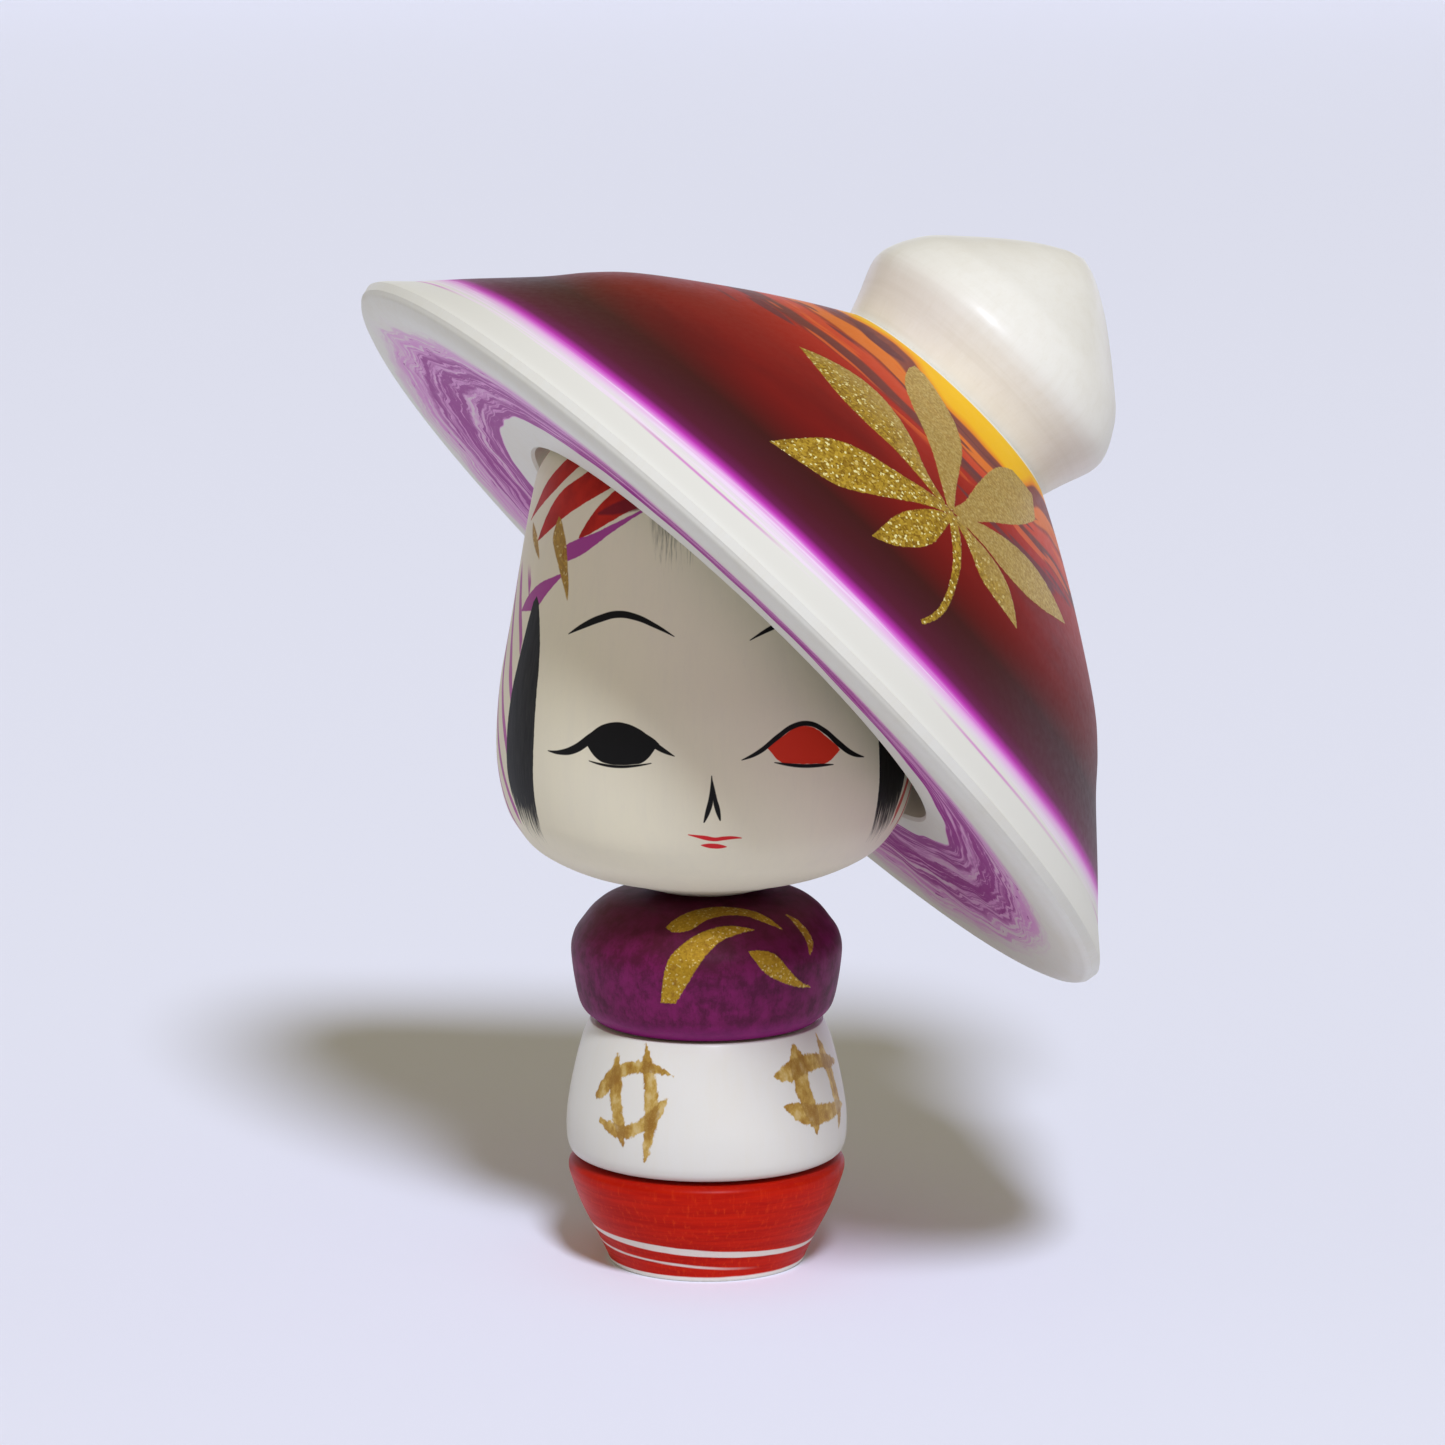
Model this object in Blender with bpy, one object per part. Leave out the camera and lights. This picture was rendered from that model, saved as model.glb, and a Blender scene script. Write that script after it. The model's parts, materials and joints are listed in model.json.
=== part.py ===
"""Kokeshi doll under a wide tilted travelling hat, built from separately turned wooden pieces.

Metres, +Z up. The origin is the centre of the foot, on the surface the doll stands on, and the face
looks along -Y. The hat has an axis of its own, leaning to the doll's left and a little to the back.
"""
import math

import bmesh
import bpy
import numpy as np
from mathutils import Euler, Vector

# Sizes of the body stack, bottom to top
FOOT_RADIUS = 0.0099
SKIRT_RADIUS = 0.01395
SKIRT_HEIGHT = 0.0109
TORSO_RADIUS = 0.01415
TORSO_TOP_RADIUS = 0.0117
TORSO_HEIGHT = 0.0137
COLLAR_RADIUS = 0.0136
COLLAR_HEIGHT = 0.0131
HEAD_RADIUS = 0.0210
HEAD_HEIGHT = 0.0484
HEAD_SEAT_RADIUS = 0.0055

# Sizes of the hat
HAT_RADIUS = 0.0499
HAT_NECK_RADIUS = 0.0134
HAT_TOP_WALL = 0.0069
CROWN_RADIUS = 0.0155
CROWN_HEIGHT = 0.0206
RIM_DROP = 0.0019
LIP_DROP = 0.0003
HOLLOW_ASPECT = 0.923
HOLLOW_FULLNESS = 4

# How the hat sits: its lean from upright, the compass bearing of the lean, where its axis crosses the
# head's axis as a share of the head's height, and how far up that axis its rim circle lies
HAT_LEAN = math.radians(46.9)
HAT_BEARING = math.radians(21.1)
HAT_CROSSING = 0.479
HAT_RISE = 0.0034

# Dowels, tenons and the wood left between sockets
DOWEL_RADIUS = 0.0030
DOWEL_IN_COLLAR = 0.0050
FOOT_WEB = 0.0040
COLLAR_WEB = 0.0020
NECK_PLUG_RADIUS = 0.0040
NECK_BEAD = 0.0006
NECK_BEAD_HEIGHT = 0.0016
NECK_IN_HEAD = 0.0080
PEG_RADIUS = 0.0025
PEG_IN_HEAD = 0.0090
PEG_IN_HAT = 0.0120
CROWN_TENON_RADIUS = 0.0060
DOWEL_CHAMFER = 0.0004

# Clearances
SEAM = 0.0003
BORE_GAP = 0.00025
HAT_AIR = 0.0007
GROOVE_DEPTH = 0.0012
COLLAR_SETBACK = 0.0004

# Facets round each kind of piece, and between two points of an outline
BODY_FACETS = 36
HEAD_FACETS = 44
HAT_FACETS = 52
DOWEL_FACETS = 24
CURVE_STEPS = 2


def smooth_curve(points, steps=CURVE_STEPS):
    """Points on the Catmull-Rom curve through the given (radius, height) points."""
    knots = [Vector(point) for point in points]
    knots = [2 * knots[0] - knots[1], *knots, 2 * knots[-1] - knots[-2]]
    curve = []
    for a, b, c, d in zip(knots, knots[1:], knots[2:], knots[3:]):
        for step in range(steps):
            t = step / steps
            curve.append(0.5 * (2 * b + (c - a) * t + (2 * a - 5 * b + 4 * c - d) * t ** 2
                                + (3 * b - a - 3 * c + d) * t ** 3))
    curve.append(knots[-2])
    return [(max(point.x, 0.0), point.y) for point in curve]


def finish(name, colour, roughness):
    """Wax-polished wood of one stain, as a Principled BSDF material."""
    material = bpy.data.materials.new(name)
    material.use_nodes = True
    shader = material.node_tree.nodes["Principled BSDF"]
    shader.inputs["Base Color"].default_value = (*colour, 1.0)
    shader.inputs["Roughness"].default_value = roughness
    shader.inputs["Metallic"].default_value = 0.0
    material.diffuse_color = (*colour, 1.0)
    return material


def turned(name, outline, facets, colour, roughness=0.45):
    """A piece turned on the lathe: the outline runs from the axis to the axis and spins about local Z."""
    bm = bmesh.new()
    verts = [bm.verts.new((radius, 0.0, height)) for radius, height in outline]
    edges = [bm.edges.new(pair) for pair in zip(verts, verts[1:])]
    bmesh.ops.spin(bm, geom=verts + edges, cent=(0, 0, 0), axis=(0, 0, 1),
                   angle=2 * math.pi, steps=facets, use_merge=True)
    bmesh.ops.remove_doubles(bm, verts=bm.verts, dist=0.000001)
    bmesh.ops.recalc_face_normals(bm, faces=bm.faces)
    mesh = bpy.data.meshes.new(name)
    bm.to_mesh(mesh)
    bm.free()
    mesh.shade_smooth()
    mesh.set_sharp_from_angle(angle=math.radians(32))
    mesh.materials.append(finish(name, colour, roughness))
    piece = bpy.data.objects.new(name, mesh)
    bpy.context.collection.objects.link(piece)
    return piece


def dowel_outline(radius, bottom, top):
    """A plain dowel with a small chamfer at each end."""
    return [(0, bottom), (radius - DOWEL_CHAMFER, bottom), (radius, bottom + DOWEL_CHAMFER),
            (radius, top - DOWEL_CHAMFER), (radius - DOWEL_CHAMFER, top), (0, top)]


for old in list(bpy.data.objects):
    bpy.data.objects.remove(old)

# Heights of the joints between the stacked pieces
torso_bottom = SKIRT_HEIGHT + SEAM
collar_bottom = torso_bottom + TORSO_HEIGHT + SEAM
collar_top = collar_bottom + COLLAR_HEIGHT
head_bottom = collar_top + SEAM
seat_radius = min(SKIRT_RADIUS, TORSO_RADIUS) - GROOVE_DEPTH
dowel_bore = DOWEL_RADIUS + BORE_GAP
dowel_floor = FOOT_WEB
dowel_ceiling = collar_bottom + DOWEL_IN_COLLAR


def skirt_base():
    """The red foot piece: flares from a narrow foot to a shoulder, with a blind socket for the dowel."""
    shoulder = SKIRT_HEIGHT - GROOVE_DEPTH / 2
    flare = SKIRT_RADIUS - FOOT_RADIUS
    side = smooth_curve([(FOOT_RADIUS + flare * across, shoulder * up) for across, up in (
        (0, 0), (0.07, 0.09), (0.30, 0.28), (0.69, 0.58), (0.96, 0.87), (1, 1))])
    socket = [(seat_radius, SKIRT_HEIGHT), (dowel_bore, SKIRT_HEIGHT), (dowel_bore, dowel_floor),
              (0, dowel_floor)]
    return turned("skirt_base", [(0, 0)] + side + socket, BODY_FACETS, (0.62, 0.035, 0.012))


def torso():
    """The white sleeve piece between skirt and collar, bored right through for the dowel."""
    taper = TORSO_RADIUS - TORSO_TOP_RADIUS
    side = smooth_curve([(TORSO_TOP_RADIUS + taper * out, TORSO_HEIGHT * up) for out, up in (
        (0.76, 0.025), (0.97, 0.11), (1, 0.28), (0.93, 0.39), (0.69, 0.62), (0.36, 0.85), (0, 1))])
    loop = [(dowel_bore, 0), (seat_radius, 0)] + side + [(dowel_bore, TORSO_HEIGHT)]
    piece = turned("torso", loop + loop[:1], BODY_FACETS, (0.78, 0.77, 0.72))
    piece.location.z = torso_bottom
    return piece


def collar():
    """The purple neck piece: the dowel ends in it below, and the neck plug turns in it above."""
    edge = TORSO_TOP_RADIUS - COLLAR_SETBACK
    plug_bore = NECK_PLUG_RADIUS + BORE_GAP
    bead_bore = plug_bore + NECK_BEAD
    neck_floor = DOWEL_IN_COLLAR + COLLAR_WEB
    throat = neck_floor + NECK_BEAD_HEIGHT + 2 * SEAM
    side = smooth_curve([(edge, 0)] + [(COLLAR_RADIUS * out, COLLAR_HEIGHT * up) for out, up in (
        (0.94, 0.13), (1, 0.48), (0.985, 0.64), (0.92, 0.75), (0.83, 0.86), (0.70, 0.94), (0.45, 0.985))])
    below = [(0, DOWEL_IN_COLLAR), (dowel_bore, DOWEL_IN_COLLAR), (dowel_bore, 0)]
    above = [(plug_bore, COLLAR_HEIGHT), (plug_bore, throat), (bead_bore, throat),
             (bead_bore, neck_floor), (0, neck_floor)]
    piece = turned("collar", below + side + above, BODY_FACETS, (0.24, 0.015, 0.17))
    piece.location.z = collar_bottom
    return piece


def core_dowel():
    """The hidden dowel that holds skirt, torso and collar on one line."""
    outline = dowel_outline(DOWEL_RADIUS, dowel_floor + SEAM, dowel_ceiling - SEAM)
    return turned("core_dowel", outline, DOWEL_FACETS, (0.62, 0.50, 0.34), 0.6)


HEAD_SIDE = smooth_curve([(HEAD_RADIUS * out, HEAD_HEIGHT * up) for out, up in (
    (0.476, 0.029), (0.652, 0.051), (0.81, 0.087), (0.895, 0.127), (0.962, 0.184), (1, 0.285),
    (0.984, 0.42), (0.929, 0.558), (0.833, 0.80), (0.771, 0.89), (0.62, 0.955), (0.33, 0.992), (0, 1))])


def head():
    """The head, with the neck plug's socket in its flat base."""
    bore = NECK_PLUG_RADIUS + BORE_GAP
    socket = [(0, NECK_IN_HEAD), (bore, NECK_IN_HEAD), (bore, 0), (HEAD_SEAT_RADIUS, 0)]
    piece = turned("head", socket + HEAD_SIDE, HEAD_FACETS, (0.76, 0.74, 0.67))
    piece.location.z = head_bottom
    return piece


def neck_plug():
    """Pressed in the head, it turns in the collar, where its bead is caught below the throat."""
    bottom = collar_bottom + DOWEL_IN_COLLAR + COLLAR_WEB + SEAM
    bead_top = bottom + NECK_BEAD_HEIGHT
    top = head_bottom + NECK_IN_HEAD - SEAM
    bead = NECK_PLUG_RADIUS + NECK_BEAD
    outline = [(0, bottom), (NECK_PLUG_RADIUS, bottom), (bead, bottom + NECK_BEAD), (bead, bead_top),
               (NECK_PLUG_RADIUS, bead_top), (NECK_PLUG_RADIUS, top - DOWEL_CHAMFER),
               (NECK_PLUG_RADIUS - DOWEL_CHAMFER, top), (0, top)]
    return turned("neck_plug", outline, DOWEL_FACETS, (0.62, 0.50, 0.34), 0.6)


# The hat's own frame: its axis, and the centre of its rim circle
hat_turn = Euler((0, HAT_LEAN, HAT_BEARING))
hat_axis = hat_turn.to_matrix() @ Vector((0, 0, 1))
crossing = Vector((0, 0, head_bottom + HAT_CROSSING * HEAD_HEIGHT))
hat_centre = crossing + HAT_RISE * hat_axis


def head_in_hat_frame():
    """Distance from the hat's axis, and height along it, of points all over the head's surface."""
    radius, height = (np.array(column)[:, None] for column in zip(*HEAD_SIDE))
    around = np.linspace(0, 2 * math.pi, 2 * HEAD_FACETS, endpoint=False)
    spots = np.stack([radius * np.cos(around), radius * np.sin(around),
                      height + head_bottom + 0 * around], axis=-1).reshape(-1, 3)
    offset = spots - np.array(hat_centre)
    along = offset @ np.array(hat_axis)
    away = np.linalg.norm(offset - along[:, None] * np.array(hat_axis), axis=1)
    return away, along


def hollow_size():
    """Radius and depth of the bowl that clears the whole head by the hat's air gap.

    The bowl is a superellipse: (radius / R) ** n + (height / D) ** n = 1, fuller than an ellipse.
    """
    away, along = head_in_hat_frame()
    inside = along > -LIP_DROP
    raised = np.clip(along[inside], 0, None) / HOLLOW_ASPECT
    reach = (away[inside] ** HOLLOW_FULLNESS + raised ** HOLLOW_FULLNESS) ** (1 / HOLLOW_FULLNESS)
    radius = reach.max() + HAT_AIR
    return float(radius), float(radius * HOLLOW_ASPECT)


def head_exit():
    """Height along the hat's axis where that axis leaves the head."""
    along = np.linspace(0, HEAD_HEIGHT, 500)
    sideways = along * math.sin(HAT_LEAN)
    upward = HAT_CROSSING * HEAD_HEIGHT + along * math.cos(HAT_LEAN)
    radius, height = zip(*HEAD_SIDE)
    inside = sideways < np.interp(upward, height, radius, right=0)
    return float(along[inside].max()) - HAT_RISE


hollow_radius, hollow_depth = hollow_size()
bell_height = hollow_depth + HAT_TOP_WALL
tenon_bore = CROWN_TENON_RADIUS + BORE_GAP
bore_mouth = hollow_depth * (1 - (tenon_bore / hollow_radius) ** HOLLOW_FULLNESS) ** (1 / HOLLOW_FULLNESS)
tenon_end = bore_mouth + SEAM
peg_bottom = head_exit() - PEG_IN_HEAD
peg_top = tenon_end + PEG_IN_HAT - SEAM


def hat_brim():
    """The bell of the hat: a 45-degree slope outside, a dished underside, and a bowl for the head."""
    power = 2 / HOLLOW_FULLNESS
    mouth_angle = math.asin((tenon_bore / hollow_radius) ** (1 / power))
    bowl = [(hollow_radius * math.sin(t) ** power, hollow_depth * abs(math.cos(t)) ** power)
            for t in np.linspace(mouth_angle, math.pi / 2, 10)]
    reach = HAT_RADIUS - hollow_radius
    under = smooth_curve([(hollow_radius + reach * out, -LIP_DROP - (RIM_DROP - LIP_DROP) * down)
                          for out, down in ((0.02, 0), (0.28, 0.05), (0.6, 0.6), (0.86, 1), (0.96, 0.7))])
    slope = HAT_RADIUS - HAT_NECK_RADIUS
    outer = smooth_curve([(HAT_NECK_RADIUS + slope * out, bell_height * up) for out, up in (
        (1, 0), (0.922, 0.093), (0.825, 0.215), (0.684, 0.386), (0.60, 0.50), (0.505, 0.604),
        (0.308, 0.772), (0.14, 0.902), (0, 1))])
    loop = bowl + under + outer + [(tenon_bore, bell_height)]
    return turned("hat_brim", loop + loop[:1], HAT_FACETS, (0.24, 0.012, 0.02), 0.4)


def hat_crown():
    """The raised white crown: its tenon plugs the bell's bore, and the peg's socket is in the tenon."""
    bottom = bell_height + SEAM
    bore = PEG_RADIUS + BORE_GAP
    side = smooth_curve([(CROWN_RADIUS * out, bottom + CROWN_HEIGHT * up) for out, up in (
        (0.85, 0), (0.91, 0.12), (0.97, 0.225), (1, 0.29), (0.985, 0.34), (0.94, 0.425),
        (0.845, 0.535), (0.52, 0.76), (0.33, 0.872), (0, 1))])
    tenon = [(0, tenon_end + PEG_IN_HAT), (bore, tenon_end + PEG_IN_HAT), (bore, tenon_end),
             (CROWN_TENON_RADIUS, tenon_end), (CROWN_TENON_RADIUS, bottom)]
    return turned("hat_crown", tenon + side, BODY_FACETS, (0.76, 0.75, 0.69))


def hat_peg():
    """The dowel that carries the hat on the head."""
    return turned("hat_peg", dowel_outline(PEG_RADIUS, peg_bottom, peg_top), DOWEL_FACETS,
                  (0.62, 0.50, 0.34), 0.6)


def peg_hole(head_piece, hat_frame):
    """Bores the slanting socket for the peg in the head."""
    bore = PEG_RADIUS + BORE_GAP
    cutter = turned("peg_hole_cutter", [(0, peg_bottom - SEAM), (bore, peg_bottom - SEAM),
                                        (bore, bell_height), (0, bell_height)],
                    DOWEL_FACETS, (0.5, 0.5, 0.5))
    cutter.parent = hat_frame
    cutter.hide_render = True
    cutter.display_type = "WIRE"
    cut = head_piece.modifiers.new("peg_hole", "BOOLEAN")
    cut.operation = "DIFFERENCE"
    cut.solver = "EXACT"
    cut.object = cutter


hat_frame = bpy.data.objects.new("hat_axis", None)
hat_frame.location = hat_centre
hat_frame.rotation_euler = hat_turn
bpy.context.collection.objects.link(hat_frame)

skirt_base()
torso()
collar()
core_dowel()
neck_plug()
peg_hole(head(), hat_frame)
for hat_piece in (hat_peg(), hat_brim(), hat_crown()):
    hat_piece.parent = hat_frame
bpy.context.view_layer.update()
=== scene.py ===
import json
import math

import bmesh
import bpy
import numpy as np
from mathutils import Euler, Matrix, Vector


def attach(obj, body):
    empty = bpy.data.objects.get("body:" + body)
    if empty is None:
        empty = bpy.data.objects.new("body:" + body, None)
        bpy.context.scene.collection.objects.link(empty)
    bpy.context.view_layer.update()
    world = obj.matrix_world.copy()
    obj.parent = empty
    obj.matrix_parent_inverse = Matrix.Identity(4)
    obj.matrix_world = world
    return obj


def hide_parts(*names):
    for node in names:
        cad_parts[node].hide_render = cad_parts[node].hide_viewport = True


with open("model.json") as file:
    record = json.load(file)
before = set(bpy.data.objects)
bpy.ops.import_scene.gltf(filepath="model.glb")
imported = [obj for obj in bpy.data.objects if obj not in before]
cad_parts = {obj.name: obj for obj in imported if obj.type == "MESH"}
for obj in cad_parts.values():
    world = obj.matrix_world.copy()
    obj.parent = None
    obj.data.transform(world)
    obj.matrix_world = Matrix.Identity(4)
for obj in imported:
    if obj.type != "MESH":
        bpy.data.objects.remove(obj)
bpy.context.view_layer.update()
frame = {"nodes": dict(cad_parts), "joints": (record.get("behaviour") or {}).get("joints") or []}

# ---------------------------------------------------------------------------------------------
# The table and its backdrop: one sheet of pale lavender paper that lies flat under the doll and
# curves up far behind it. One soft box in front of the doll, high up and a little to the viewer's
# right, gives the soft shadow, and the warm bright room fills it.
# ---------------------------------------------------------------------------------------------
scene = bpy.context.scene
scene.view_settings.view_transform = "Standard"


def link(name, mesh):
    """An object for a finished mesh, at the origin."""
    piece = bpy.data.objects.new(name, mesh)
    scene.collection.objects.link(piece)
    return piece


def grid_mesh(name, points, wrap):
    """A mesh over a (rows, columns, 3) array of points; wrap joins the last column to the first."""
    rows, columns = points.shape[:2]
    last = columns if wrap else columns - 1
    row, column = np.meshgrid(np.arange(rows - 1), np.arange(last), indexing="ij")
    right = (column + 1) % columns
    faces = np.stack([row * columns + column, row * columns + right,
                      (row + 1) * columns + right, (row + 1) * columns + column], axis=-1)
    mesh = bpy.data.meshes.new(name)
    mesh.from_pydata(points.reshape(-1, 3).tolist(), [], faces.reshape(-1, 4).tolist())
    return mesh


def paper_sweep(width=3.0, front=-1.2, bend=1.4, radius=0.3, height=0.05):
    """Flat from the front edge to the bend, a quarter circle of the given radius, then straight up."""
    turn = np.linspace(0, math.pi / 2, 24)
    depth = np.concatenate([[front], bend + radius * np.sin(turn), [bend + radius]])
    lift = np.concatenate([[0], radius * (1 - np.cos(turn)), [radius + height]])
    across = np.linspace(width, -width, 3)
    points = np.stack([across[None, :] + 0 * depth[:, None], depth[:, None] + 0 * across,
                       lift[:, None] + 0 * across], axis=-1)
    mesh = grid_mesh("paper_sweep", points, wrap=False)
    mesh.shade_smooth()
    return link("paper_sweep", mesh)


sweep = paper_sweep()
paper = bpy.data.materials.new("lavender_paper")
paper.use_nodes = True
paper.node_tree.nodes["Principled BSDF"].inputs["Base Color"].default_value = (0.78, 0.79, 0.87, 1)
paper.node_tree.nodes["Principled BSDF"].inputs["Roughness"].default_value = 0.9
paper.node_tree.nodes["Principled BSDF"].inputs["Specular IOR Level"].default_value = 0.0
sweep.data.materials.append(paper)

world = bpy.data.worlds.new("bright_room")
world.use_nodes = True
room = world.node_tree.nodes["Background"]
room.inputs["Color"].default_value = (1.0, 0.91, 0.63, 1)
room.inputs["Strength"].default_value = 0.34
scene.world = world


def even_lamp(name, place, width, height, power, colour):
    """A soft box turned to the doll; its light grows with distance, so that all the paper is lit alike."""
    data = bpy.data.lights.new(name, "AREA")
    data.shape = "ELLIPSE"
    data.size = width
    data.size_y = height
    data.energy = power
    data.use_nodes = True
    nodes = data.node_tree.nodes
    even = nodes.new("ShaderNodeLightFalloff")
    nodes["Emission"].inputs["Color"].default_value = (*colour, 1)
    reach = nodes.new("ShaderNodeMath")
    reach.operation = "MAXIMUM"
    reach.inputs[1].default_value = Vector(place).length
    growth = nodes.new("ShaderNodeMath")
    growth.operation = "POWER"
    growth.inputs[1].default_value = 0.9
    data.node_tree.links.new(nodes.new("ShaderNodeLightPath").outputs["Ray Length"], reach.inputs[0])
    data.node_tree.links.new(reach.outputs[0], growth.inputs[0])
    data.node_tree.links.new(growth.outputs[0], even.inputs["Strength"])
    data.node_tree.links.new(even.outputs["Constant"], nodes["Emission"].inputs["Strength"])
    lamp = bpy.data.objects.new(name, data)
    lamp.location = place
    lamp.rotation_euler = Vector(place).to_track_quat("Z", "Y").to_euler()
    scene.collection.objects.link(lamp)


even_lamp("key_lamp", (0.13, -0.70, 0.90), 0.20, 0.28, 7.9, (0.85, 0.90, 1.09))

# The camera looks slightly down at the doll through a long lens
camera_height = math.radians(11.3)
camera_distance = 0.7225
camera_aim = Vector((0.0016, 0, 0.0552))
camera_data = bpy.data.cameras.new("camera")
camera_data.lens = 180
camera_data.sensor_width = 36
camera_data.clip_start = 0.01
camera = bpy.data.objects.new("camera", camera_data)
camera_side = Vector((0, -math.cos(camera_height), math.sin(camera_height)))
camera.location = camera_aim + camera_distance * camera_side
camera.rotation_euler = (math.pi / 2 - camera_height, 0, 0)
scene.collection.objects.link(camera)
scene.camera = camera

# ---------------------------------------------------------------------------------------------
# Skirt base: the foot piece, turned from pale wood, dyed red while it spun in the lathe and then
# waxed. Two rings and a strip at the foot are left bare. Its blind socket holds the core dowel.
# ---------------------------------------------------------------------------------------------
MM = 0.001
UPRIGHT = (Vector((0, 0, 0)), Euler((0, 0, 0)))


def lathe_size(node, lathe=UPRIGHT):
    """Greatest radius, lowest and highest height of a CAD node about a lathe's axis, in metres."""
    centre, turn = lathe
    count = len(frame["nodes"][node].data.vertices)
    spots = np.empty(3 * count)
    frame["nodes"][node].data.vertices.foreach_get("co", spots)
    x, y, height = ((spots.reshape(-1, 3) - np.array(centre)) @ np.array(turn.to_matrix())).T
    return float(np.hypot(x, y).max()), float(height.min()), float(height.max())


def smooth_curve(points, steps=8):
    """The Catmull-Rom curve through the given points, with this many steps from each to the next."""
    knots = np.array(points, float)
    knots = np.vstack([2 * knots[0] - knots[1], knots, 2 * knots[-1] - knots[-2]])
    a, b, c, d = (knots[shift:len(knots) - 3 + shift, None] for shift in range(4))
    t = np.linspace(0, 1, steps, endpoint=False)[None, :, None]
    curve = 0.5 * (2 * b + (c - a) * t + (2 * a - 5 * b + 4 * c - d) * t ** 2
                   + (3 * b - a - 3 * c + d) * t ** 3)
    return np.vstack([curve.reshape(-1, 2), knots[-2]])


def turned(name, outline, lathe=UPRIGHT, rounds=256):
    """An outline of (radius, height) spun about the lathe's axis.

    The point of the outline's row i at angle a is (radius_i sin a, -radius_i cos a, height_i).
    """
    centre, turn = lathe
    radius, height = np.vstack(outline).T[..., None]
    angle = np.linspace(0, 2 * math.pi, rounds, endpoint=False)
    points = np.stack([radius * np.sin(angle), -radius * np.cos(angle), height + 0 * angle], axis=-1)
    mesh = grid_mesh(name, points @ np.array(turn.to_matrix()).T + np.array(centre), wrap=True)
    solid = bmesh.new()
    solid.from_mesh(mesh)
    bmesh.ops.remove_doubles(solid, verts=solid.verts, dist=0.0000002)
    bmesh.ops.recalc_face_normals(solid, faces=solid.faces)
    solid.to_mesh(mesh)
    solid.free()
    mesh.shade_smooth()
    mesh.set_sharp_from_angle(angle=math.radians(30))
    return link(name, mesh)


def node(tree, kind, *inputs, **settings):
    """A shader node; inputs fill its sockets in order, with None for one that stays as it is."""
    made = tree.nodes.new("ShaderNode" + kind)
    for name, value in settings.items():
        setattr(made, name, value)
    for socket, value in zip(made.inputs, inputs):
        if isinstance(value, bpy.types.NodeSocket):
            tree.links.new(value, socket)
        elif value is not None:
            socket.default_value = value
    return made


def calc(tree, operation, *inputs, clamp=False):
    """The result of one Math node."""
    return node(tree, "Math", *inputs, operation=operation, use_clamp=clamp).outputs[0]


def times(tree, value, factor, clamp=False):
    """The value times the factor."""
    return calc(tree, "MULTIPLY", value, factor, clamp=clamp)


def scaled(tree, value, factor, offset):
    """The value times the factor, plus the offset."""
    return calc(tree, "MULTIPLY_ADD", value, factor, offset)


def rise(tree, value, low, high):
    """A smooth rise from 0 where value is low to 1 where it is high."""
    return node(tree, "MapRange", value, low, high, interpolation_type="SMOOTHSTEP").outputs[0]


def band(tree, value, low, high, soft):
    """1 between low and high, with edges this soft."""
    up = rise(tree, value, low - soft / 2, low + soft / 2)
    return times(tree, up, rise(tree, value, high + soft / 2, high - soft / 2))


def dye(red, green, blue):
    """Linear colour of a dye whose colour as seen is given from 0 to 255."""
    seen = np.array([red, green, blue]) / 255
    return (*np.where(seen > 0.04045, ((seen + 0.055) / 1.055) ** 2.4, seen / 12.92).tolist(), 1)


def blend(tree, mask, under, over):
    """The colour under, covered by the colour over as far as the mask says."""
    return node(tree, "Mix", mask, None, None, None, None, None, under, over, data_type="RGBA").outputs[2]


def ramp(tree, value, low, high, stops):
    """Colours along a value that runs from low to high; stops are (value, colour)."""
    share = node(tree, "MapRange", value, low, high).outputs[0]
    made = node(tree, "ValToRGB", share)
    elements = made.color_ramp.elements
    elements.remove(elements[1])
    for index, (spot, colour) in enumerate(stops):
        element = elements.new((spot - low) / (high - low)) if index else elements[0]
        element.position = (spot - low) / (high - low)
        element.color = colour
    return made.outputs[0]


def noise(tree, where, stretch, detail=3.0, roughness=0.55):
    """Noise from 0 to 1; stretch is how many blotches there are to the millimetre along x, y and z."""
    spots = node(tree, "VectorMath", where, stretch, operation="MULTIPLY").outputs[0]
    made = node(tree, "TexNoise")
    tree.links.new(spots, made.inputs["Vector"])
    made.inputs["Scale"].default_value = 1.0
    made.inputs["Detail"].default_value = detail
    made.inputs["Roughness"].default_value = roughness
    return made.outputs[0]


def lathe_space(tree, lathe=UPRIGHT):
    """Where a point is on its lathe, in millimetres: the place, its height, radius and angle.

    The angle is 0 in front of the doll and grows towards the right of someone who looks at it.
    """
    centre, turn = lathe
    coordinates = node(tree, "TexCoord").outputs["Object"]
    place = node(tree, "Mapping", coordinates, centre, turn, (MM, MM, MM), vector_type="TEXTURE").outputs[0]
    x, y, height = node(tree, "SeparateXYZ", place).outputs
    across = node(tree, "CombineXYZ", x, y, 0.0).outputs[0]
    radius = node(tree, "VectorMath", across, operation="LENGTH").outputs["Value"]
    angle = calc(tree, "ARCTAN2", x, times(tree, y, -1.0))
    return place, height, radius, angle


def new_finish(name, piece):
    """A new material on the piece; gives its node tree."""
    material = bpy.data.materials.new(name)
    material.use_nodes = True
    piece.data.materials.clear()
    piece.data.materials.append(material)
    return material.node_tree


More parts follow.
